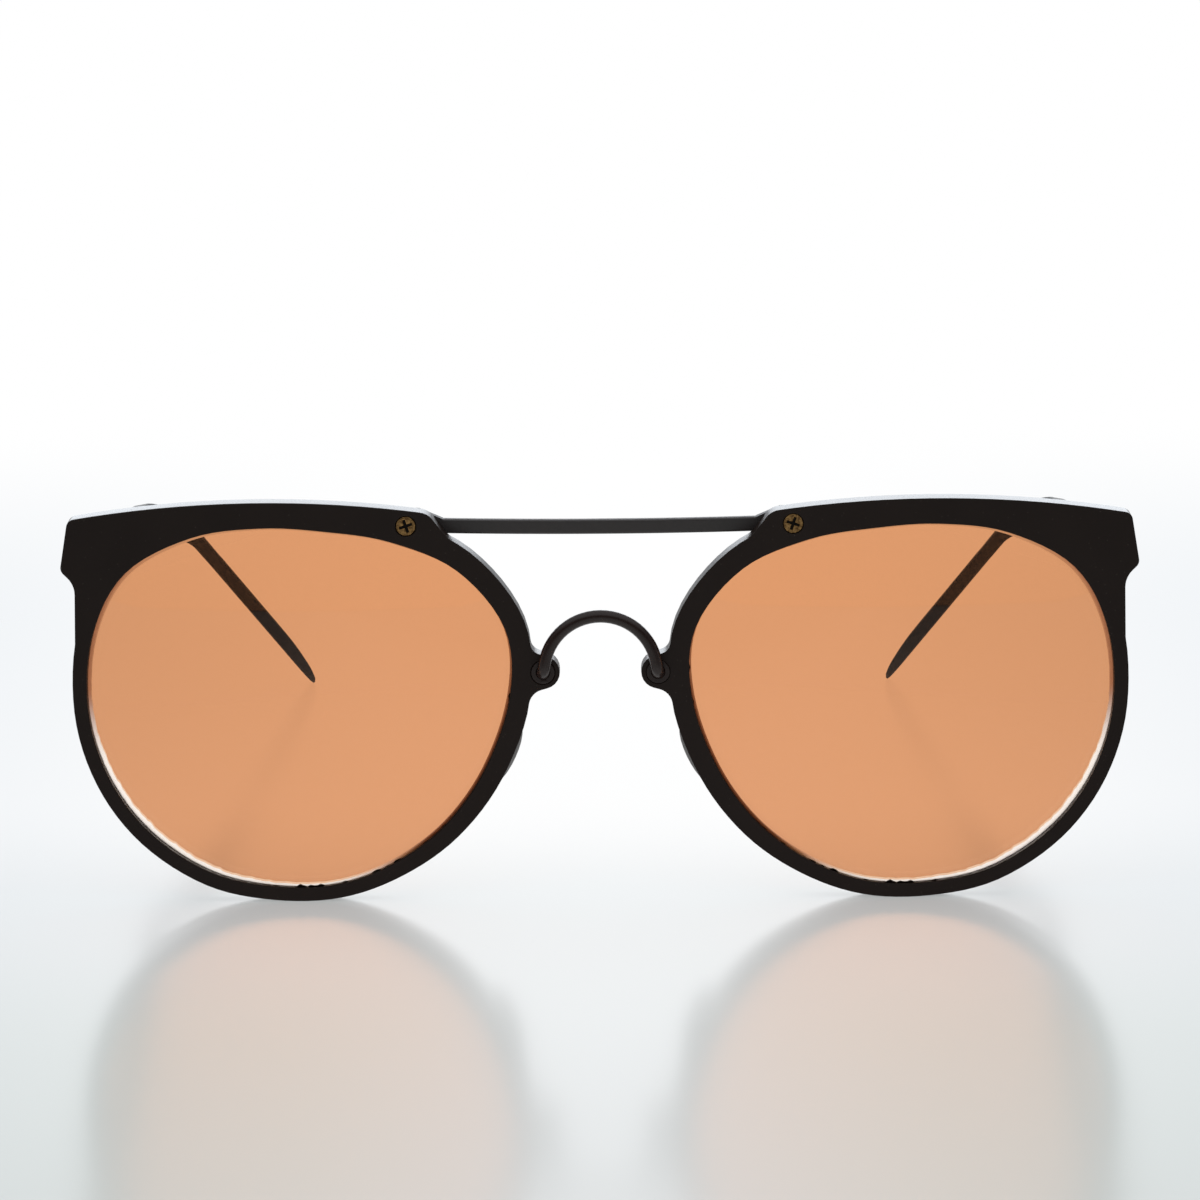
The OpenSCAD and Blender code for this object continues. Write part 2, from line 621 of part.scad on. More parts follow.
// A plate that stands along the arm, from x0 out to x1
module sideways(x0, x1, points) {
    translate([x0, 0, 0]) rotate([90, 0, 90]) linear_extrude(x1 - x0) polygon(points);
}
module cross_post(y, z, x0, x1, d) {
    translate([x0, y, z]) rotate([0, 90, 0]) cylinder(h = x1 - x0, d = d);
}
module arm_hinge() {
    low = pin_z - knuckle_h / 2 + run_fit;
    high = knuckle_h - 2 * run_fit;
    color(STEEL) difference() {
        union() {
            sideways(arm_in_x, arm_in_x + leaf_t, arm_leaf_line(0));
            knuckle(low, low + high);
            translate([pin_x, pin_y - arm_web_y, low])
                cube([arm_in_x - pin_x + leaf_t / 2, arm_web_w, high]);
        }
        translate([pin_x, pin_y, low - cut]) cylinder(h = high + 2 * cut, d = pin_d + 2 * run_fit);
        for (y = rivet_places())
            cross_post(y, arm_mid(y), arm_in_x - cut, arm_in_x + leaf_t + cut, rivet_d + 2 * fit);
    }
}
module hinge_rivets() {
    color(STEEL) for (y = rivet_places())
        cross_post(y, arm_mid(y), arm_in_x, arm_x + arm_t / 2, rivet_d);
}

// The arm is a loft of rounded sections along its centre line
function arm_line(end) = let (bend_end = end - ear_dir * ear_run)
    concat(
        [for (i = [0:straight_steps - 1]) butt + (bend_start - butt) * i / straight_steps],
        [for (i = [0:bend_steps - 1]) curve_point(i / bend_steps, bend_end)],
        [for (i = [0:ear_steps - 1]) bend_end + ear_dir * (ear_run - tip_round) * i / ear_steps],
        [for (i = [0:tip_steps - 1]) end - ear_dir * tip_round * cos(90 * i / (tip_steps - 1))]
    );
function curve_point(t, bend_end) = let (s = 1 - t, reach = norm(bend_end - bend_start),
        near = bend_start + arm_dir * reach * near_pull, far = bend_end - ear_dir * reach * far_pull)
    s * s * s * bend_start + 3 * s * s * t * near + 3 * s * t * t * far + t * t * t * bend_end;
function ease(t) = t <= 0 ? 0 : t >= 1 ? 1 : t * t * (3 - 2 * t);
function arm_rings(end) = let (line = arm_line(end), m = len(line))
    [for (i = [0:m - 1]) arm_ring(line[i], line[min(m - 1, i + 1)] - line[max(0, i - 1)], end)];
// One section: its faces lean from the middle of the arm on, and it shrinks over the tip
function arm_ring(c, ahead, end) = let (
        back = (c.y - butt_y) / (end.y - butt_y),
        turned = ease((back - hinge_share) / (lean_start - hinge_share)),
        way_raw = [0, 1, 0] * (1 - turned) + ahead / norm(ahead) * turned,
        way = way_raw / norm(way_raw),
        lean = face_lean * ease((back - lean_start) / (lean_full - lean_start)),
        flat_side = [cos(lean), 0, -sin(lean)],
        side_raw = flat_side - way * (way * flat_side),
        side = side_raw / norm(side_raw),
        up = cross(side, way),
        near_tip = max(0, 1 - norm(end - c) / tip_round),
        shrink = sqrt(max(tip_flat, 1 - near_tip * near_tip)),
        taper = max(0, 1 - norm(end - c) / tip_taper),
        thin = 1 - (1 - tip_t / ear_t) * taper * taper,
        high = shrink * (arm_h + (bend_h - arm_h) * ease(back / lean_start)
            + (ear_h - bend_h) * ease((back - lean_start) / (1 - lean_start))),
        full = arm_t + (ear_t - arm_t) * ease(back),
        thick = full * thin * sqrt(shrink),
        mid = c + side * (full - full * thin) / 2)
    [for (k = [0:arm_sides - 1]) let (a = 360 * (k + 0.5) / arm_sides)
        mid + side * sign_power(cos(a), section_e) * thick / 2
            + up * sign_power(sin(a), section_e) * high / 2];
function sign_power(v, e) = sign(v) * pow(abs(v), e);
module temple() {
    color(BLACK) difference() {
        loft(arm_rings(tip));
        sideways(arm_in_x - cut, arm_in_x + leaf_t + fit, arm_leaf_line(fit));
        for (y = rivet_places())
            cross_post(y, arm_mid(y), arm_in_x, arm_x + arm_t / 2 + cut, rivet_d + 2 * fit);
    }
}

left() rim();  // rim_left
right() rim();  // rim_right
left() lens();  // lens_left
right() lens();  // lens_right
left() brow_bar();
left() brow_screw();  // brow_screw_left
right() brow_screw();  // brow_screw_right
left() bridge_wire();
left() bridge_washer();  // bridge_washer_left
right() bridge_washer();  // bridge_washer_right
left() bridge_nut();  // bridge_nut_left
right() bridge_nut();  // bridge_nut_right
left() nose_pad();  // nose_pad_left
right() nose_pad();  // nose_pad_right
left() front_hinge();  // front_hinge_left
right() front_hinge();  // front_hinge_right
left() hinge_screw();  // hinge_screw_left
right() hinge_screw();  // hinge_screw_right
left() arm_hinge();  // arm_hinge_left
right() arm_hinge();  // arm_hinge_right
left() hinge_rivets();  // hinge_rivets_left
right() hinge_rivets();  // hinge_rivets_right
left() temple();  // temple_left
right() temple();  // temple_right
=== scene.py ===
# %% [markdown]
# # Round sunglasses: black rims, amber lenses, a brow bar and a wire bridge
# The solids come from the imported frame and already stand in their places. This lesson
# dresses them: it rounds the moulded edges, cuts two finer lenses, gives every piece the
# finish of what it is made of, and sets up a bright white table with the light behind it.
# Lengths are written in millimetres and multiplied by MM, because Blender works in metres.

# %% Load the frame
import math

import bpy
from mathutils import Matrix, Vector, geometry


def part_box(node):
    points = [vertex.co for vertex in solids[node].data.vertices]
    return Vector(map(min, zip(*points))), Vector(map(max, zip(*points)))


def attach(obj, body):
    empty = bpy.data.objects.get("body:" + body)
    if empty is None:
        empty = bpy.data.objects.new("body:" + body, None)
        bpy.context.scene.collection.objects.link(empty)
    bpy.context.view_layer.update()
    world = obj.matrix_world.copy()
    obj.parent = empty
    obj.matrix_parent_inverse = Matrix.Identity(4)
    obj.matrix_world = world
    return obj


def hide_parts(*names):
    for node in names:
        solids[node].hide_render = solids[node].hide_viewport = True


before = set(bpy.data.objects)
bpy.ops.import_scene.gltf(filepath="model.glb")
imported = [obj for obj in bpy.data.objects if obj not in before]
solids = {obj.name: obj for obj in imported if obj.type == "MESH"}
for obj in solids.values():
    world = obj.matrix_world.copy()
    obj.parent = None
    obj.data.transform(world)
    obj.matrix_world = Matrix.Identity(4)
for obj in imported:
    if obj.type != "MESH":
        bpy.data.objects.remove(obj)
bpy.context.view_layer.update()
MM = 0.001
scene = bpy.context.scene

# %% [markdown]
# ## The camera
# The photograph was taken from 60 cm in front and a little above the rims, with a long
# lens, so that the front shows almost without perspective. The camera looks down by
# 11.8 degrees and leans by less than half a degree. The far arms still shrink a little,
# which only a real distance gives, so an orthographic camera wouldn't do.

# %% Place the camera
CAMERA_AT = Vector((0, -662.86, 164.58)) * MM
CAMERA_DOWN = 11.813
CAMERA_ROLL = -0.426
CAMERA_LENS = 145.66
NEAREST_SEEN = 0.01

camera = bpy.data.objects.new("camera", bpy.data.cameras.new("camera"))
scene.collection.objects.link(camera)
camera.data.lens = CAMERA_LENS
camera.data.clip_start = NEAREST_SEEN
camera.matrix_world = (
    Matrix.Translation(CAMERA_AT)
    @ Matrix.Rotation(math.radians(90 - CAMERA_DOWN), 4, "X")
    @ Matrix.Rotation(math.radians(CAMERA_ROLL), 4, "Z")
)
scene.camera = camera
scene.view_settings.view_transform = "Standard"
print("camera:", [round(c, 3) for c in camera.location], "lens", CAMERA_LENS)

# %% [markdown]
# ## Helpers for materials
# Blender's sockets take linear colour, while a colour given as a hex value is sRGB. One function
# turns a hex value into linear colour. Another adds a node, sets its sockets or its own
# options by name, and links it, which keeps a whole material down to a few lines.

# %% Colour and node helpers
def linear(hex_colour):
    """A linear RGBA colour from an sRGB hex value."""
    channels = [int(hex_colour[i:i + 2], 16) / 255 for i in (1, 3, 5)]
    bright = [c / 12.92 if c <= 0.04045 else ((c + 0.055) / 1.055) ** 2.4 for c in channels]
    return bright + [1.0]


def add_node(tree, kind, settings={}, links={}):
    """Adds a node; settings go to sockets or options, links are {input: (node, output)}."""
    node = tree.nodes.new(kind)
    for name, value in settings.items():
        if isinstance(name, int) or name in node.inputs:
            node.inputs[name].default_value = value
        else:
            setattr(node, name, value)
    for name, (source, output) in links.items():
        tree.links.new(source.outputs[output], node.inputs[name])
    return node


def new_material(name):
    """An empty material and its node tree."""
    material = bpy.data.materials.new(name)
    material.use_nodes = True
    material.node_tree.nodes.clear()
    return material, material.node_tree


def finish_material(tree, shader, output="BSDF"):
    """Joins the last shader to the material's output."""
    add_node(tree, "ShaderNodeOutputMaterial", {}, {"Surface": (shader, output)})


BLACK = "#000000"
WHITE = "#ffffff"
print("helpers ready; mid grey is", [round(c, 3) for c in linear("#808080")])

# %% [markdown]
# ## The white studio
# The object stands on a glossy white sheet in front of a lit white wall. Most of the
# light comes from that wall and from above, and little from the side of the camera: that
# is why the black front looks dark and even while every edge that faces up or back
# carries a thin pale line. Lamps could do it too, but a world that changes with direction
# lights without hot spots. Here it brightens in two ways, from the front to the back and
# from the side upwards. The wall itself fades out 16 to 21 degrees above the horizon, and
# the room is darker between it and the light above. The table mirrors the wall only up to
# there, so mirror images on it grow fainter towards the camera.

# %% Light the room with the world
FRONT_LIGHT = 0.09
BACK_LIGHT = 1.12
FRONT_TO_BACK = (-0.75, 0.55)
SIDE_TO_TOP = (0.35, 0.8)
WALL_TOP = (0.28, 0.36)
SKY_TINT = "#f8fafd"

world = bpy.data.worlds.new("white_studio")
world.use_nodes = True
scene.world = world
sky = world.node_tree
sky.nodes.clear()
towards = add_node(sky, "ShaderNodeTexCoord")
split = add_node(sky, "ShaderNodeSeparateXYZ", {}, {0: (towards, "Generated")})
from_front = add_node(
    sky, "ShaderNodeMapRange",
    {"From Min": FRONT_TO_BACK[0], "From Max": FRONT_TO_BACK[1], "To Min": FRONT_LIGHT,
     "To Max": BACK_LIGHT, "interpolation_type": "SMOOTHSTEP"},
    {"Value": (split, "Y")},
)
from_above = add_node(
    sky, "ShaderNodeMapRange",
    {"From Min": SIDE_TO_TOP[0], "From Max": SIDE_TO_TOP[1], "To Min": FRONT_LIGHT,
     "To Max": BACK_LIGHT, "interpolation_type": "SMOOTHSTEP"},
    {"Value": (split, "Z")},
)
below_top = add_node(
    sky, "ShaderNodeMapRange",
    {"From Min": WALL_TOP[0], "From Max": WALL_TOP[1], "To Min": 1.0, "To Max": FRONT_LIGHT,
     "interpolation_type": "SMOOTHSTEP"},
    {"Value": (split, "Z")},
)
from_wall = add_node(
    sky, "ShaderNodeMath", {"operation": "MULTIPLY"},
    {0: (from_front, "Result"), 1: (below_top, "Result")},
)
brightest = add_node(
    sky, "ShaderNodeMath", {"operation": "MAXIMUM"},
    {0: (from_wall, "Value"), 1: (from_above, "Result")},
)
room = add_node(
    sky, "ShaderNodeBackground", {"Color": linear(SKY_TINT)}, {"Strength": (brightest, "Value")}
)
print("world: front", FRONT_LIGHT, "back", BACK_LIGHT, "wall up to", WALL_TOP)

# %% [markdown]
# The camera sees plain white in every direction, because a strength of 1 is white, and so
# do the lenses below the top of the wall. This adds no light to the object: only rays that
# come from the camera or have gone through glass meet it.

# %% Show white to the camera and through the lenses
ray = add_node(sky, "ShaderNodeLightPath")
through = add_node(
    sky, "ShaderNodeMath", {"operation": "MAXIMUM"},
    {0: (ray, "Is Camera Ray"), 1: (below_top, "Result")},
)
wall = add_node(
    sky, "ShaderNodeBackground", {"Color": linear(WHITE)}, {"Strength": (through, "Value")}
)
seen = add_node(
    sky, "ShaderNodeMath", {"operation": "MAXIMUM"},
    {0: (ray, "Is Camera Ray"), 1: (ray, "Is Transmission Ray")},
)
sky_mix = add_node(
    sky, "ShaderNodeMixShader", {},
    {0: (seen, "Value"), 1: (room, "Background"), 2: (wall, "Background")},
)
add_node(sky, "ShaderNodeOutputWorld", {}, {"Surface": (sky_mix, "Shader")})
print("world nodes:", len(sky.nodes))

# %% [markdown]
# A low lit panel stands a metre behind the object and adds the pale, slightly blue line on
# every edge that faces up. It is linked to the pieces only, as a studio shades a panel off
# the table. The camera and the lenses look through it at the plain white of the world.

# %% Stand a lit panel behind the object
PANEL_SIZE = (3.0, 0.4)
PANEL_AT = (0, 1.0, 0.24)
PANEL_WATTS = 3.2
PANEL_TINT = "#e6eff9"

panel_light = bpy.data.lights.new("panel", "AREA")
panel_light.shape = "RECTANGLE"
panel_light.size, panel_light.size_y = PANEL_SIZE
panel_light.energy = PANEL_WATTS
panel_light.color = linear(PANEL_TINT)[:3]
panel = bpy.data.objects.new("panel", panel_light)
scene.collection.objects.link(panel)
panel.location = PANEL_AT
panel.rotation_euler = (math.radians(90), 0, math.radians(180))
panel.visible_camera = False
panel.visible_transmission = False
lit_pieces = bpy.data.collections.new("lit_by_panel")
for solid in solids.values():
    lit_pieces.objects.link(solid)
panel.light_linking.receiver_collection = lit_pieces

# %% [markdown]
# ## The table
# The table is a sheet of white acrylic with a lamp under it, as product tables have. One
# large plane is enough, since only its top shows. The glow of the lamp is emission and the
# body takes light and shadow, about half and half, so the object's shadow stays soft. Two
# glossy layers, the sheet and a clear hard coat, mirror what stands on it. Acrylic has an
# IOR of 1.49, and both are a little higher here, until the mirror image was as strong as
# in the photograph. The sheet's colour changes by place: painted shade makes it cooler and
# darker at the sides, and most so towards the front.

# %% Lay the table and colour its sheet
TABLE_SIZE = 6.0
TABLE_MIDDLE = "#f8fbfa"
# Painted shade: TABLE_SIDE makes the sheet cooler and darker at the sides, and FRONT_SHADE darker
# towards the front corners.
TABLE_SIDE = "#dbe2e5"
SIDE_FROM = (0.02, 0.12)
FRONT_SHADE = "#f6f9f6"
FRONT_FROM = (-0.07, -0.13)
LIGHT_STRIP = 0.04

table_mesh = bpy.data.meshes.new("table")
half = TABLE_SIZE / 2
table_mesh.from_pydata(
    [(-half, -half, 0), (half, -half, 0), (half, half, 0), (-half, half, 0)], [], [(0, 1, 2, 3)]
)
table = bpy.data.objects.new("table", table_mesh)
scene.collection.objects.link(table)

white_acrylic, tree = new_material("white_acrylic_sheet")
place = add_node(tree, "ShaderNodeNewGeometry")
place_split = add_node(tree, "ShaderNodeSeparateXYZ", {}, {0: (place, "Position")})
aside = add_node(tree, "ShaderNodeMath", {"operation": "ABSOLUTE"}, {0: (place_split, "X")})
to_side = add_node(
    tree, "ShaderNodeMapRange",
    {"From Min": SIDE_FROM[0], "From Max": SIDE_FROM[1], "interpolation_type": "SMOOTHSTEP"},
    {"Value": (aside, "Value")},
)
side_colour = add_node(
    tree, "ShaderNodeMix",
    {"data_type": "RGBA", 6: linear(TABLE_MIDDLE), 7: linear(TABLE_SIDE)},
    {0: (to_side, "Result")},
)
off_middle = add_node(
    tree, "ShaderNodeMapRange",
    {"From Max": LIGHT_STRIP, "interpolation_type": "SMOOTHSTEP"},
    {"Value": (aside, "Value")},
)
to_front = add_node(
    tree, "ShaderNodeMapRange",
    {"From Min": FRONT_FROM[0], "From Max": FRONT_FROM[1], "interpolation_type": "SMOOTHSTEP"},
    {"Value": (place_split, "Y"), "To Max": (off_middle, "Result")},
)
sheet_colour = add_node(
    tree, "ShaderNodeMix",
    {"data_type": "RGBA", "blend_type": "MULTIPLY", 7: linear(FRONT_SHADE)},
    {0: (to_front, "Result"), 6: (side_colour, 2)},
)
print("table:", TABLE_SIZE, "m wide,", TABLE_MIDDLE, "to", TABLE_SIDE)

# %% Give the sheet its body, its glow and its coat
TABLE_BODY = 0.5
TABLE_GLOW = 0.465
SHEET_ROUGH = 0.22
SHEET_IOR = 1.6
COAT_ROUGH = 0.18
COAT_IOR = 1.7

sheet_body = add_node(
    tree, "ShaderNodeMix", {"data_type": "RGBA", 0: TABLE_BODY, 6: linear(BLACK)},
    {7: (sheet_colour, 2)},
)
sheet = add_node(
    tree, "ShaderNodeBsdfPrincipled",
    {"Roughness": SHEET_ROUGH, "IOR": SHEET_IOR, "Coat Weight": 1.0,
     "Coat Roughness": COAT_ROUGH, "Coat IOR": COAT_IOR, "Emission Strength": TABLE_GLOW},
    {"Base Color": (sheet_body, 2), "Emission Color": (sheet_colour, 2)},
)
print("sheet: body", TABLE_BODY, "glow", TABLE_GLOW)

# %% [markdown]
# Behind the rims the bright wall washes the table out, and the mirror images of the arms
# barely show on it. A plain haze of emission covers the sheet there. The back edge of the
# table lies 20 cm behind the middle of the object and melts into the wall.

# %% Let the table fade into the wall
HAZE = 0.88
HAZE_FROM = (-0.066, -0.006)
# Painted shade: the haze is also cooler and darker at the sides.
HAZE_SIDE = "#f1f4f7"
TABLE_EDGE = 0.20
TABLE_FADE = 0.10

haze_colour = add_node(
    tree, "ShaderNodeMix", {"data_type": "RGBA", 6: linear(WHITE), 7: linear(HAZE_SIDE)},
    {0: (to_side, "Result")},
)
haze = add_node(tree, "ShaderNodeEmission", {"Strength": 1.0}, {"Color": (haze_colour, 2)})
hazy = add_node(
    tree, "ShaderNodeMapRange",
    {"From Min": HAZE_FROM[0], "From Max": HAZE_FROM[1], "To Max": HAZE,
     "interpolation_type": "SMOOTHSTEP"},
    {"Value": (place_split, "Y")},
)
hazy_sheet = add_node(
    tree, "ShaderNodeMixShader", {},
    {0: (hazy, "Result"), 1: (sheet, "BSDF"), 2: (haze, "Emission")},
)
glow = add_node(tree, "ShaderNodeEmission", {"Color": linear(WHITE), "Strength": 1.0})
fade = add_node(
    tree, "ShaderNodeMapRange",
    {"From Min": TABLE_EDGE - TABLE_FADE, "From Max": TABLE_EDGE + TABLE_FADE,
     "interpolation_type": "SMOOTHSTEP"},
    {"Value": (place_split, "Y")},
)
table_mix = add_node(
    tree, "ShaderNodeMixShader", {},
    {0: (fade, "Result"), 1: (hazy_sheet, "Shader"), 2: (glow, "Emission")},
)
finish_material(tree, table_mix, "Shader")
table_mesh.materials.append(white_acrylic)
print("table: haze from", HAZE_FROM, "back edge at", TABLE_EDGE)

# %% [markdown]
# ## Black acetate
# Rims, pads and arms are cellulose acetate, cut from sheet and tumbled with fine grit
# until the gloss is gone. Tumbling leaves grain about 0.12 mm wide, which catches light
# as a faint speckle, and handling polishes the edges a little. The grain is a bump from
# noise, and the same noise moves the roughness, so both belong to one surface. A flat
# face keeps the low gloss of its material. Only where the surface turns away from the
# front does a clear coat come in, at most by polish_share where it faces straight up.
# Acetate has an IOR of about 1.5. Its black is a very dark brown, in clouds a few
# millimetres wide, with single specks of dust.

# %% Make the acetate
CLOUD_MM = 9
SPECK_EVERY_MM = 0.9
SPECK_EDGE = (0.10, 0.06)
DUST = "#8d8378"
TURNED_AWAY = (0.8, 0.3)
FACES_UP = (0.7, 0.98)
GRAIN_SPAN = (0.3, 0.7)
GRAIN_DEEP_MM = 0.02
POLISHED_ROUGH = 0.2
POLISHED_GLOSS = 0.5


def black_acetate(name, colour, paler, rough, grain_mm, dust, gloss, polish_share):
    """Tumbled acetate with its grain in mm, its dust, its flat gloss and its polished edges."""
    material, tree = new_material(name)
    at = add_node(tree, "ShaderNodeTexCoord")
    grain = add_node(
        tree, "ShaderNodeTexNoise",
        {"Scale": 1 / (grain_mm * MM), "Detail": 3.0, "Roughness": 0.6}, {"Vector": (at, "Object")},
    )
    clouds = add_node(
        tree, "ShaderNodeTexNoise", {"Scale": 1 / (CLOUD_MM * MM), "Detail": 2.0},
        {"Vector": (at, "Object")},
    )
    body = add_node(
        tree, "ShaderNodeMix", {"data_type": "RGBA", 6: linear(colour), 7: linear(paler)},
        {0: (clouds, "Fac")},
    )
    specks = add_node(
        tree, "ShaderNodeTexVoronoi", {"Scale": 1 / (SPECK_EVERY_MM * MM), "Randomness": 1.0},
        {"Vector": (at, "Object")},
    )
    speck = add_node(
        tree, "ShaderNodeMapRange",
        {"From Min": SPECK_EDGE[0], "From Max": SPECK_EDGE[1], "To Max": dust},
        {"Value": (specks, "Distance")},
    )
    dusted = add_node(
        tree, "ShaderNodeMix", {"data_type": "RGBA", 7: linear(DUST)},
        {0: (speck, "Result"), 6: (body, 2)},
    )
    facing = add_node(tree, "ShaderNodeSeparateXYZ", {}, {0: (at, "Normal")})
    flat = add_node(tree, "ShaderNodeMath", {"operation": "ABSOLUTE"}, {0: (facing, "Y")})
    upward = add_node(
        tree, "ShaderNodeMapRange",
        {"From Min": FACES_UP[0], "From Max": FACES_UP[1], "To Max": polish_share},
        {"Value": (facing, "Z")},
    )
    polish = add_node(
        tree, "ShaderNodeMapRange", {"From Min": TURNED_AWAY[0], "From Max": TURNED_AWAY[1]},
        {"Value": (flat, "Value"), "To Max": (upward, "Result")},
    )
    roughness = add_node(
        tree, "ShaderNodeMapRange",
        {"From Min": GRAIN_SPAN[0], "From Max": GRAIN_SPAN[1], "To Min": rough - 0.06,
         "To Max": rough + 0.08},
        {"Value": (grain, "Fac")},
    )
    polished = add_node(
        tree, "ShaderNodeMix", {"data_type": "FLOAT", 3: POLISHED_ROUGH},
        {0: (polish, "Result"), 2: (roughness, "Result")},
    )
    sheen = add_node(
        tree, "ShaderNodeMapRange", {"To Min": gloss, "To Max": POLISHED_GLOSS},
        {"Value": (polish, "Result")},
    )
    bump = add_node(
        tree, "ShaderNodeBump", {"Strength": 0.35, "Distance": GRAIN_DEEP_MM * MM},
        {"Height": (grain, "Fac")},
    )
    shader = add_node(
        tree, "ShaderNodeBsdfPrincipled", {"IOR": 1.5, "Coat Roughness": 0.12, "Coat IOR": 1.5},
        {"Base Color": (dusted, 2), "Roughness": (polished, 0),
         "Specular IOR Level": (sheen, "Result"), "Coat Weight": (polish, "Result"),
         "Normal": (bump, "Normal")},
    )
    finish_material(tree, shader)
    return material


rim_acetate = black_acetate(
    "black_acetate_tumbled", "#1d1410", "#251b17", rough=0.42, grain_mm=0.12, dust=0.10,
    gloss=0.18, polish_share=0.7,
)
arm_acetate = black_acetate(
    "black_acetate_worn", "#0d0907", "#130d0a", rough=0.5, grain_mm=0.16, dust=0.3,
    gloss=0.06, polish_share=0.2,
)
print("acetate:", rim_acetate.name, arm_acetate.name)

# %% [markdown]
# ## Coated metal
# The bar and the wire are steel with a thin satin black coat. A coat is smoother than
# tumbled acetate, so it shows longer soft highlights, and it is faintly lumpy because it
# dries with a slight orange peel about half a millimetre wide. The bar is the greyer of
# the two, and the wire the glossier.

# %% Make the satin coats
PEEL_DEEP_MM = 0.02
PEEL_PALER = 1.35


def satin_coat(name, colour, rough, peel_mm, sheen):
    """A thin black coat on steel, with an orange peel of that size."""
    material, tree = new_material(name)
    at = add_node(tree, "ShaderNodeTexCoord")
    peel = add_node(
        tree, "ShaderNodeTexNoise", {"Scale": 1 / (peel_mm * MM), "Detail": 1.0},
        {"Vector": (at, "Object")},
    )
    paler = [c * PEEL_PALER for c in linear(colour)[:3]] + [1.0]
    shade = add_node(
        tree, "ShaderNodeMix", {"data_type": "RGBA", 6: linear(colour), 7: paler},
        {0: (peel, "Fac")},
    )
    roughness = add_node(
        tree, "ShaderNodeMapRange", {"To Min": rough - 0.08, "To Max": rough + 0.08},
        {"Value": (peel, "Fac")},
    )
    bump = add_node(
        tree, "ShaderNodeBump", {"Strength": 0.25, "Distance": PEEL_DEEP_MM * MM},
        {"Height": (peel, "Fac")},
    )
    shader = add_node(
        tree, "ShaderNodeBsdfPrincipled", {"IOR": 1.5, "Specular IOR Level": sheen},
        {"Base Color": (shade, 2), "Roughness": (roughness, "Result"), "Normal": (bump, "Normal")},
    )
    finish_material(tree, shader)
    return material


bar_coat = satin_coat("satin_black_coat_on_bar", "#2f2a29", rough=0.38, peel_mm=0.6, sheen=0.5)
wire_coat = satin_coat("satin_black_coat_on_wire", "#231714", rough=0.28, peel_mm=0.5, sheen=0.32)
print("coats:", bar_coat.name, wire_coat.name)

# %% [markdown]
# ## Bare metal
# The brow screws are brass that has gone brown, and the hinges, nuts and rivets are steel
# with a dark plating. Hands keep the high spots bright and leave tarnish between them, so
# one noise, patches a fraction of a millimetre wide, drives colour and roughness together.

# %% Make the brass and the steel
TARNISH_SPAN = (0.35, 0.65)
PITS_DEEP_MM = 0.01


def worn_metal(name, bright, dark, rough, patch_mm):
    """Bare metal that is bright where it is rubbed and dark where it has tarnished."""
    material, tree = new_material(name)
    at = add_node(tree, "ShaderNodeTexCoord")
    patch = add_node(
        tree, "ShaderNodeTexNoise",
        {"Scale": 1 / (patch_mm * MM), "Detail": 4.0, "Roughness": 0.65},
        {"Vector": (at, "Object")},
    )
    tarnish = add_node(
        tree, "ShaderNodeMapRange", {"From Min": TARNISH_SPAN[0], "From Max": TARNISH_SPAN[1]},
        {"Value": (patch, "Fac")},
    )
    shade = add_node(
        tree, "ShaderNodeMix", {"data_type": "RGBA", 6: linear(bright), 7: linear(dark)},
        {0: (tarnish, "Result")},
    )
    roughness = add_node(
        tree, "ShaderNodeMapRange", {"To Min": rough - 0.08, "To Max": rough + 0.2},
        {"Value": (tarnish, "Result")},
    )
    bump = add_node(
        tree, "ShaderNodeBump", {"Strength": 0.3, "Distance": PITS_DEEP_MM * MM},
        {"Height": (patch, "Fac")},
    )
    shader = add_node(
        tree, "ShaderNodeBsdfPrincipled", {"Metallic": 1.0},
        {"Base Color": (shade, 2), "Roughness": (roughness, "Result"), "Normal": (bump, "Normal")},
    )
    finish_material(tree, shader)
    return material


dark_brass = worn_metal("darkened_brass", "#b08a58", "#5c4228", rough=0.34, patch_mm=0.35)
plated_steel = worn_metal("dark_plated_steel", "#8b8883", "#4a4744", rough=0.30, patch_mm=0.5)
print("metals:", dark_brass.name, plated_steel.name)

# %% [markdown]
# ## Moulded edges
# The solids have sharp corners, but no real edge is sharp, and it is the rounding that
# catches the light. A short chain of modifiers gives it without touching the solids: Weld
# joins the loose triangles, Decimate melts the flat ones into whole faces, Bevel rounds
# what turns by more than 30 degrees, and Weighted Normal keeps the flats flat. The pads
# and the wire are round already and get no bevel. The arms turn their section in small
# steps, so only turns of more than 50 degrees count as their edges.

# %% Round the edges of the solids
SAME_POINT_MM = 0.001
SAME_PLANE = 0.3


def round_edges(name, width_mm, material, steps=3, turn=30):
    """Gives a solid rounded edges of that width and its material."""
    solid = solids[name]
    weld = solid.modifiers.new("weld", "WELD")
    weld.merge_threshold = SAME_POINT_MM * MM
    flat = solid.modifiers.new("flat", "DECIMATE")
    flat.decimate_type = "DISSOLVE"
    flat.angle_limit = math.radians(SAME_PLANE)
    if width_mm:
        bevel = solid.modifiers.new("round", "BEVEL")
        bevel.width = width_mm * MM
        bevel.segments = steps
        bevel.limit_method = "ANGLE"
        bevel.angle_limit = math.radians(turn)
        bevel.harden_normals = False
    solid.data.polygons.foreach_set("use_smooth", [True] * len(solid.data.polygons))
    normals = solid.modifiers.new("normals", "WEIGHTED_NORMAL")
    normals.keep_sharp = False
    solid.data.materials.clear()
    solid.data.materials.append(material)


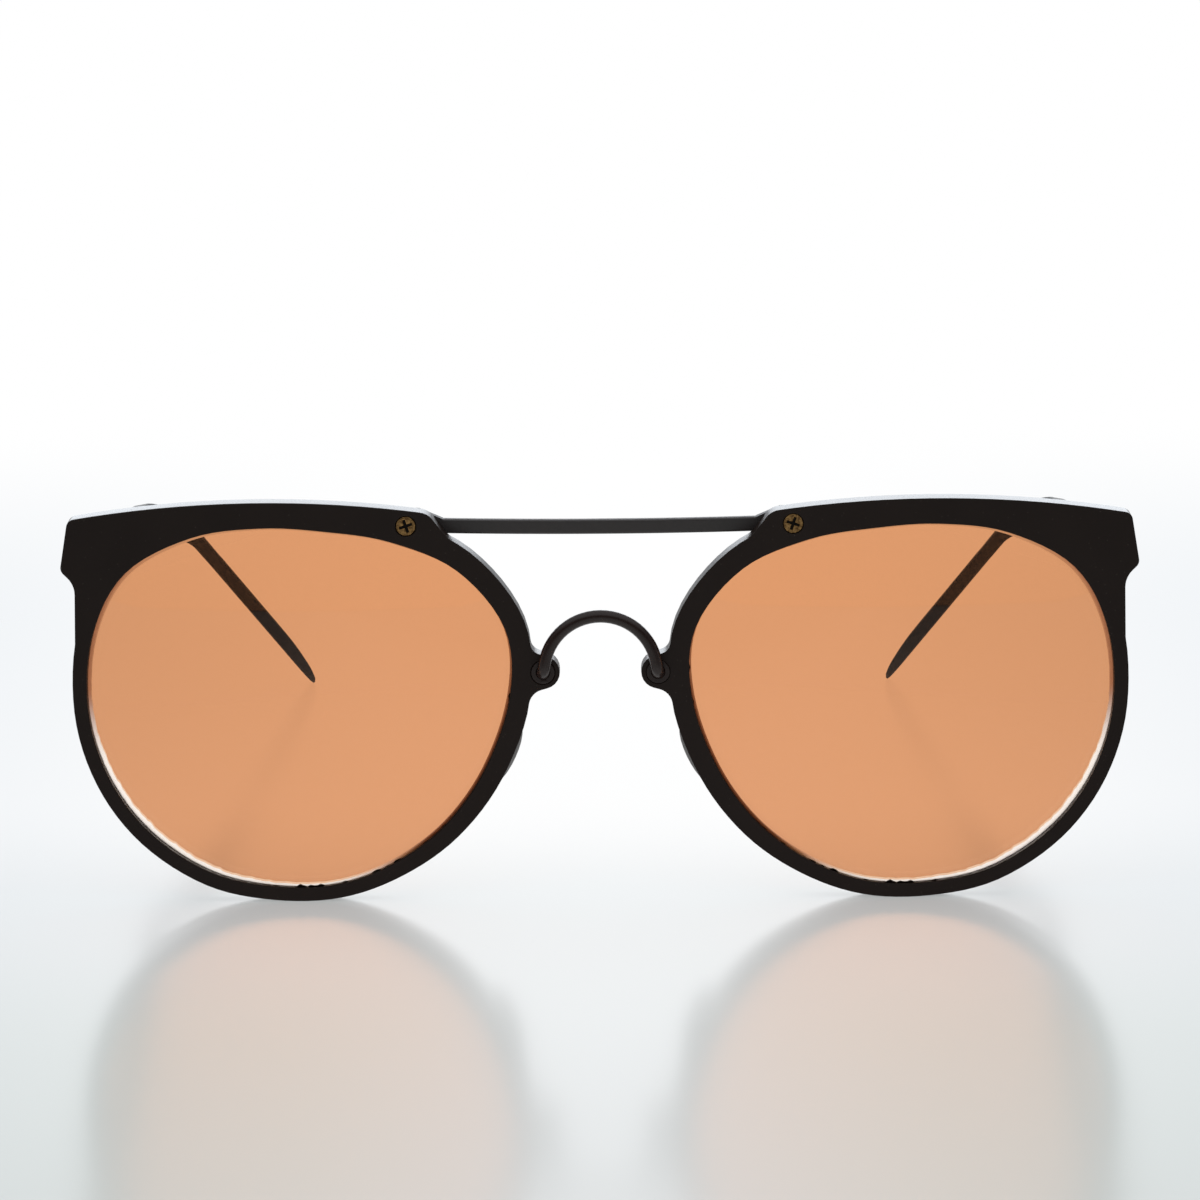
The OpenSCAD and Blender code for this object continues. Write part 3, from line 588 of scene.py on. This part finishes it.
for side in ("left", "right"):
    round_edges("rim_" + side, 0.14, rim_acetate)
    round_edges("nose_pad_" + side, 0, rim_acetate)
    round_edges("temple_" + side, 0.15, arm_acetate, steps=2, turn=50)
    round_edges("brow_screw_" + side, 0.08, dark_brass, steps=2)
    round_edges("bridge_washer_" + side, 0.1, wire_coat, steps=2)
    round_edges("bridge_nut_" + side, 0.12, plated_steel, steps=2)
    round_edges("front_hinge_" + side, 0.08, plated_steel, steps=2)
    round_edges("arm_hinge_" + side, 0.08, plated_steel, steps=2)
    round_edges("hinge_screw_" + side, 0.06, plated_steel, steps=2)
    round_edges("hinge_rivets_" + side, 0.05, plated_steel, steps=2)
round_edges("brow_bar", 0.08, bar_coat, steps=2)
round_edges("bridge_wire", 0, wire_coat)
print("rounded:", sum(len(s.modifiers) > 0 for s in solids.values()), "solids")

# %% [markdown]
# ## Amber resin
# The lenses are cast resin dyed amber, with both faces polished. Real glass shading bends
# the light and mirrors the room a little, less than plain glass does, as a lens with an
# anti-glare coat. Light that only passes through on its way to something else is tinted
# without being bent, so that the lens throws an amber shadow free of noise.

# %% Make the polished resin
LENS_TINT = "#e39e6e"
LENS_SHADOW = "#e2a578"

amber_resin, tree = new_material("amber_resin_polished")
lens_ray = add_node(tree, "ShaderNodeLightPath")
resin = add_node(
    tree, "ShaderNodeBsdfPrincipled",
    {"Base Color": linear(LENS_TINT), "Roughness": 0.0, "IOR": 1.5, "Transmission Weight": 1.0,
     "Specular IOR Level": 0.2},
)
passing = add_node(tree, "ShaderNodeBsdfTransparent", {"Color": linear(LENS_SHADOW)})
resin_mix = add_node(
    tree, "ShaderNodeMixShader", {},
    {0: (lens_ray, "Is Shadow Ray"), 1: (resin, "BSDF"), 2: (passing, "BSDF")},
)
finish_material(tree, resin_mix, "Shader")
print("resin:", amber_resin.name, LENS_TINT)

# %% [markdown]
# ## The ground edge
# Round its edge each lens was ground to a chamfer by hand and left matt. Matt resin lets
# light through and scatters it, and the light and shade on it are painted into its colour:
# painted light makes it nearly white below, where the lit table shines into it, painted
# shade makes it pale brown above and dark brown beside the nose, where the black rim shows
# through from behind, and it is deep amber at the outer side, where the lens is cut at a
# slant. The node tree reads the way from the middle of the lens, so the colours stay with
# the lens. The low IOR keeps the matt edge from turning dark.

# %% Make the ground resin
LIT_BELOW = (12.0, 21.0)
OUTER_SIDE = (7.0, 12.0)
NOSE_SIDE = (-5.0, -9.0)
SIDEWAYS_SHARE = 0.55
GRIT_MM = 0.3
GRIT_DEEP_MM = 0.03


def ground_edge(name, middle, lit, shaded, deep, rim_shade):
    """Matt ground resin: painted light below, deep at the outer side, painted shade above and by
    the nose.
    """
    material, tree = new_material(name)
    at = add_node(tree, "ShaderNodeTexCoord")
    spot = add_node(
        tree, "ShaderNodeVectorMath", {"operation": "SUBTRACT", 1: middle}, {0: (at, "Object")}
    )
    parts = add_node(tree, "ShaderNodeSeparateXYZ", {}, {0: (spot, "Vector")})
    outward = add_node(
        tree, "ShaderNodeMath",
        {"operation": "MULTIPLY", 1: math.copysign(SIDEWAYS_SHARE, middle[0]) / MM},
        {0: (parts, "X")},
    )
    downward = add_node(
        tree, "ShaderNodeMath", {"operation": "MULTIPLY_ADD", 1: -1.0 / MM},
        {0: (parts, "Z"), 2: (outward, "Value")},
    )
    light, thick, near_nose = [
        add_node(
            tree, "ShaderNodeMapRange",
            {"From Min": span[0], "From Max": span[1], "interpolation_type": "SMOOTHSTEP"},
            {"Value": (source, "Value")},
        )
        for source, span in ((downward, LIT_BELOW), (outward, OUTER_SIDE), (outward, NOSE_SIDE))
    ]
    # Painted shade: pale brown above, and dark brown beside the nose, where the black rim shows
    # through from behind.
    away_from_nose = add_node(
        tree, "ShaderNodeMix", {"data_type": "RGBA", 6: linear(shaded), 7: linear(deep)},
        {0: (thick, "Result")},
    )
    unlit = add_node(
        tree, "ShaderNodeMix", {"data_type": "RGBA", 7: linear(rim_shade)},
        {0: (near_nose, "Result"), 6: (away_from_nose, 2)},
    )
    # Painted light: nearly white below, where the lit table shines into the edge.
    shade = add_node(
        tree, "ShaderNodeMix", {"data_type": "RGBA", 7: linear(lit)},
        {0: (light, "Result"), 6: (unlit, 2)},
    )
    grit = add_node(
        tree, "ShaderNodeTexNoise", {"Scale": 1 / (GRIT_MM * MM), "Detail": 3.0},
        {"Vector": (at, "Object")},
    )
    bump = add_node(
        tree, "ShaderNodeBump", {"Strength": 0.4, "Distance": GRIT_DEEP_MM * MM},
        {"Height": (grit, "Fac")},
    )
    shader = add_node(
        tree, "ShaderNodeBsdfPrincipled",
        {"Roughness": 0.45, "IOR": 1.12, "Transmission Weight": 1.0},
        {"Base Color": (shade, 2), "Normal": (bump, "Normal")},
    )
    finish_material(tree, shader)
    return material


print("ground edge: lit below", LIT_BELOW, "mm, soiled beyond", NOSE_SIDE, "mm")

# %% [markdown]
# ## The outline of a lens
# Each lens is 2 mm thick and lies on a ball of 132 mm radius, and a thinner tongue round
# its edge sits in the groove of the rim. The outline is read off the solid, so the finer
# lens fits the same groove. Its points are spread evenly, because the rings of a mesh
# only stay tidy when each ring has the same number of points at the same spacing.

# %% Read the outline and move it inwards
AROUND = 360


def lens_outline(solid):
    """The outline of the lens's edge tongue, evenly spaced, as (x, z) points in metres."""
    points = [(v.co.x, v.co.z) for v in solid.data.vertices]
    hull = [Vector(points[i]) for i in geometry.convex_hull_2d(points)]
    steps = [(hull[i] - hull[i - 1]).length for i in range(len(hull))]
    whole = sum(steps)
    even, i, gone = [], 0, 0.0
    for k in range(AROUND):
        goal = whole * k / AROUND
        while gone + steps[(i + 1) % len(hull)] < goal:
            gone += steps[(i + 1) % len(hull)]
            i += 1
        step = steps[(i + 1) % len(hull)]
        even.append(hull[i % len(hull)].lerp(hull[(i + 1) % len(hull)], (goal - gone) / step))
    return even


def moved_in(outline, distance):
    """A closed outline moved inwards by one distance, or by one distance for each point."""
    moved = []
    middle = sum(outline, Vector((0, 0))) / len(outline)
    for i, p in enumerate(outline):
        along = (outline[(i + 1) % len(outline)] - outline[i - 1]).normalized()
        normal = Vector((-along.y, along.x))
        if normal.dot(middle - p) < 0:
            normal = -normal
        far = distance[i] if isinstance(distance, list) else distance
        moved.append(p + normal * far)
    return moved


outline = lens_outline(solids["lens_left"])
outline_l = sum((p - outline[i - 1]).length for i, p in enumerate(outline)) / MM
print("outline:", AROUND, "points over", round(outline_l, 1), "mm")

# %% [markdown]
# Two more helpers say where a point of the outline lies: on the ball, and in which
# direction from the middle of the lens. The chamfer takes its width from that direction.
# It is narrow above, wider beside the nose, and widest below and on the outer side. There
# its inner edge also wanders a little, as a hand-ground one does. The wander is a sum of
# sines of the point's number, which looks uneven and yet comes out the same each time.

# %% Lift points onto the ball and shape the chamfer
LENS_BALL_R = 132
LENS_THICK = 2.0
TONGUE_W = 0.6
TONGUE_THICK = 0.9
CHAMFER_LEAST = 0.13
CHAMFER_OUTER = 0.40
CHAMFER_BELOW = 0.34
CHAMFER_NOSE = 0.25
NOSE_FADE = 2.5
CHAMFER_WANDER = 0.11
WANDER_FROM = 0.6


def ball_of(side):
    """The middle of a lens, and a function that lifts a point of its outline onto the ball."""
    low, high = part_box("lens_" + side)
    middle = Vector(((low[0] + high[0]) / 2, (low[2] + high[2]) / 2))
    ball_y = low[1] + (LENS_BALL_R + LENS_THICK / 2) * MM

    def on_ball(p, out_mm):
        """The point of the ball's front over p, where out_mm is counted from the middle skin."""
        radius = (LENS_BALL_R + out_mm) * MM
        return (p.x, ball_y - math.sqrt(radius ** 2 - (p - middle).length_squared), p.y)

    return middle, on_ball


def way_from(middle, p):
    """How far p lies outwards, away from the nose, and downwards, each from -1 to 1."""
    way = (p - middle).normalized()
    return way.x * math.copysign(1, middle.x), -way.y


def chamfer_width(k, out, down):
    """The chamfer's width in millimetres at point k of the outline."""
    outer, lower, nose = max(0.0, out), max(0.0, down), max(0.0, -out)
    wide = CHAMFER_LEAST + CHAMFER_OUTER * outer * outer * (3 - 2 * outer)
    wide += CHAMFER_BELOW * lower * (1 + out)
    wide += CHAMFER_NOSE * nose * max(0.0, min(1.0, 1 + NOSE_FADE * down))
    wander = math.sin(k * 0.9) * math.sin(k * 0.37)
    wander += 0.6 * math.sin(k * 2.3) * math.sin(k * 0.23)
    return wide + CHAMFER_WANDER * max(0.0, out + down - WANDER_FROM) * wander


print("chamfer: above", chamfer_width(0, 0, -1), "mm, outer side", chamfer_width(0, 1, 0), "mm")

# %% [markdown]
# ## Cut the lenses
# A lens is rings of points laid over each other: from the middle of the front to the
# chamfer, down to the tongue, round it, and back the same way behind. Faces join each
# ring to the next. The polished faces are shaded smooth and the ground ones flat, and the
# edges between the two are marked sharp, so the chamfer keeps a crisp border.

# %% Build the two lenses
ACROSS = 8


def lens_rings(side):
    """The rings of a lens, from the middle of its front to the middle of its back."""
    middle, on_ball = ball_of(side)
    edge = lens_outline(solids["lens_" + side])
    seat = moved_in(edge, TONGUE_W * MM)
    widths = [chamfer_width(k, *way_from(middle, p)) * MM for k, p in enumerate(seat)]
    inner = moved_in(seat, widths)

    def skin(way):
        """One face with its chamfer and its half of the tongue, in front if way is 1."""
        rings = [[on_ball(middle.lerp(q, t / ACROSS), way * LENS_THICK / 2) for q in inner]
                 for t in range(1, ACROSS + 1)]
        return rings + [[on_ball(p, way * TONGUE_THICK / 2) for p in line] for line in (seat, edge)]

    middles = [on_ball(middle, way * LENS_THICK / 2) for way in (1, -1)]
    return middle, skin(1) + skin(-1)[::-1], middles


def make_lens(side):
    """A lens with polished ball faces, a ground chamfer and the tongue that sits in the rim."""
    middle, rings, middles = lens_rings(side)
    verts = [p for ring in rings for p in ring] + middles
    faces, ground = [], []
    for r in range(len(rings) - 1):
        for k in range(AROUND):
            a, b = r * AROUND + k, r * AROUND + (k + 1) % AROUND
            faces.append((a + AROUND, b + AROUND, b, a))
            ground.append(ACROSS - 1 <= r <= len(rings) - ACROSS - 1)
    last = (len(rings) - 1) * AROUND
    for k in range(AROUND):
        faces.append((len(verts) - 2, k, (k + 1) % AROUND))
        faces.append((len(verts) - 1, last + (k + 1) % AROUND, last + k))
        ground += [False, False]
    mesh = bpy.data.meshes.new("lens_" + side + "_cut")
    mesh.from_pydata(verts, [], faces)
    mesh.materials.append(amber_resin)
    # The edge's colours: painted light below, painted shade above and beside the nose, deep amber
    # at the outer side.
    mesh.materials.append(ground_edge(
        "amber_resin_ground_" + side, (middle.x, 0, middle.y),
        lit="#fff4ea", shaded="#c08860", deep="#a46b4b", rim_shade="#5c301c",
    ))
    mesh.polygons.foreach_set("material_index", [int(g) for g in ground])
    mesh.polygons.foreach_set("use_smooth", [not g for g in ground])
    border = (ACROSS - 1, ACROSS, len(rings) - ACROSS - 1, len(rings) - ACROSS)
    for line in mesh.edges:
        a, b = line.vertices[0] // AROUND, line.vertices[1] // AROUND
        line.use_edge_sharp = a == b and a in border
    mesh.validate()
    lens = bpy.data.objects.new("lens_" + side + "_cut", mesh)
    scene.collection.objects.link(lens)
    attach(lens, "front")
    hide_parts("lens_" + side)
    return lens


for side in ("left", "right"):
    lens = make_lens(side)
    print("lens:", lens.name, len(lens.data.polygons), "faces")

# %% [markdown]
# ## Painted shade and wear
# Two small things finish the front. The first is a dark fill in the cross of each brow
# screw, painted shade where the narrow recess lies in shadow, so the crosses read as
# black. It is a small flat cross that fills the recess to just below the face of the
# screw, turned as the screw is.

# %% Shape the painted shade in a screw's cross
RECESS_L = 1.62
RECESS_W = 0.30
RECESS_TURN = 19
SHADE_FILL_FROM = 0.08
SHADE_FILL_TO = 0.38

# Painted shade: a dark fill where the narrow cross recess of each screw lies in shadow.
recess_shade = satin_coat("painted_shade_in_recess", "#120d09", rough=0.8, peel_mm=0.1, sheen=0.1)


def add_to_front(name, verts, faces, material):
    """A small piece that goes with the front."""
    mesh = bpy.data.meshes.new(name)
    mesh.from_pydata(verts, [], faces)
    mesh.materials.append(material)
    piece = bpy.data.objects.new(name, mesh)
    scene.collection.objects.link(piece)
    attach(piece, "front")
    return piece


def fill_cross(side):
    """A dark fill, painted shade, in the cross of a brow screw to just below its face."""
    low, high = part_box("brow_screw_" + side)
    at_x, at_z = (low[0] + high[0]) / 2, (low[2] + high[2]) / 2
    turn = math.radians(math.copysign(RECESS_TURN, at_x))
    long, half = RECESS_L / 2, RECESS_W / 2
    arm = [(long, -half), (long, half), (half, half)]
    cross = [Matrix.Rotation(math.radians(90 * q), 2) @ Vector(p) for q in range(4) for p in arm]
    cross = [Matrix.Rotation(-turn, 2) @ p * MM for p in cross]
    depths = (low[1] + SHADE_FILL_FROM * MM, low[1] + SHADE_FILL_TO * MM)
    verts = [(at_x + p.x, y, at_z + p.y) for y in depths for p in cross]
    count = len(cross)
    faces = [tuple(range(count)), tuple(range(2 * count - 1, count - 1, -1))]
    faces += [(k, k + count, (k + 1) % count + count, (k + 1) % count) for k in range(count)]
    return add_to_front("painted_shade_" + side, verts, faces, recess_shade)


print("cross:", RECESS_L, "by", RECESS_W, "mm, filled to", SHADE_FILL_FROM, "mm below the face")

# %% [markdown]
# The second is the rim's inner lip. Where each lens was pressed in, the lip has torn into
# black flakes that stand over the chamfer, below and towards the nose. Each run of flakes
# is a thin strip on the outline of the lens. Its outer edge stays under the lip, and its
# inner edge follows another sum of sines, cut off where that is low, which leaves gaps.

# %% Tear the lips and add the painted shade and the wear on both sides
FLAKE_THICK = 0.1
FLAKE_LIFT = 0.02
FLAKE_TUCK = 0.03
FLAKE_LONG = 0.42
FLAKE_GAPS = 0.25
BELOW_FROM = 0.6
BELOW_RISE = 2.5
OUTWARD_LAST = 0.2
BESIDE_NOSE = -0.98
NOSE_SHARE = 0.6


def flake_width(k, out, down):
    """How far the torn lip stands over the chamfer, in millimetres, or nothing."""
    below = max(0.0, min(1.0, BELOW_RISE * (down - BELOW_FROM))) if out < OUTWARD_LAST else 0.0
    where = max(below, NOSE_SHARE if out < BESIDE_NOSE and down < 0 else 0.0)
    wander = math.sin(k * 0.53) * math.sin(k * 0.211 + 1.3) + 0.55 * math.sin(k * 1.9)
    return where * max(0.0, wander - FLAKE_GAPS) * FLAKE_LONG


def tear_lip(side):
    """Black flakes along the inner lip of a rim."""
    middle, on_ball = ball_of(side)
    edge = lens_outline(solids["lens_" + side])
    seat = moved_in(edge, TONGUE_W * MM)
    ways = [way_from(middle, p) for p in seat]
    widths = [flake_width(k, *way) for k, way in enumerate(ways)]
    outer = moved_in(edge, (TONGUE_W - FLAKE_TUCK) * MM)
    inner = moved_in(seat, [w * MM for w in widths])
    base, chamfer_high = TONGUE_THICK / 2 + FLAKE_LIFT, (LENS_THICK - TONGUE_THICK) / 2
    verts, faces = [], []
    for k in range(AROUND):
        slope = chamfer_high / chamfer_width(k, *ways[k])
        rise = base + min(widths[k] * slope, chamfer_high)
        verts += [on_ball(outer[k], base), on_ball(outer[k], base + FLAKE_THICK),
                  on_ball(inner[k], rise + FLAKE_THICK), on_ball(inner[k], rise)]
    for k in range(AROUND):
        n = (k + 1) % AROUND
        if widths[k] > 0 or widths[n] > 0:
            faces += [(4 * k + i, 4 * k + (i + 1) % 4, 4 * n + (i + 1) % 4, 4 * n + i)
                      for i in range(4)]
    return add_to_front("torn_lip_" + side, verts, faces, rim_acetate)


for side in ("left", "right"):
    print("wear:", fill_cross(side).name, len(tear_lip(side).data.polygons), "faces of flakes")
